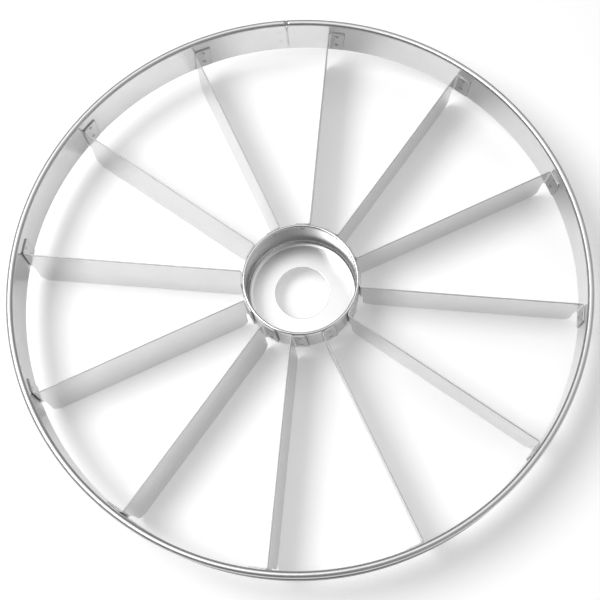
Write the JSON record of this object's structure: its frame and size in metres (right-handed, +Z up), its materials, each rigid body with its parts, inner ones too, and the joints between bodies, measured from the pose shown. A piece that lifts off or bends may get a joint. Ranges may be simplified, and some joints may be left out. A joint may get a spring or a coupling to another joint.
{
  "type": "cake portion marker",
  "caption": "Wheel-shaped sheet-metal marker with blades on edge between a wired ring and an open hub cup, pressed onto a round cake to mark equal slices.",
  "frame": {"origin": "on the ring's axis, in the plane of the blades' lower edges (the table it stands on)", "axes": "+Z up along the ring's axis, +X out along blade_01; blades are numbered counter-clockwise seen from above"},
  "size_m": [0.266, 0.266, 0.0368],
  "materials": {
    "ring_sheet": "bright rolled sheet, lightly satin",
    "hub_sheet": "bright drawn sheet, lightly satin",
    "blade_sheet": "bright rolled strip, lightly satin",
    "rim_wire": "drawn wire",
    "weld_metal": "spot weld, slightly darkened"
  },
  "bodies": {
    "root": {"rim_band": "ring_sheet", "rim_wire": "rim_wire", "hub_cup": "hub_sheet", "blade_01": "blade_sheet", "blade_02": "blade_sheet", "blade_03": "blade_sheet", "blade_04": "blade_sheet", "blade_05": "blade_sheet", "blade_06": "blade_sheet", "blade_07": "blade_sheet", "blade_08": "blade_sheet", "blade_09": "blade_sheet", "blade_10": "blade_sheet", "blade_11": "blade_sheet", "blade_12": "blade_sheet", "ring_spot_welds": "weld_metal", "hub_spot_welds": "weld_metal", "seam_spot_welds": "weld_metal"}
  },
  "joints": []
}
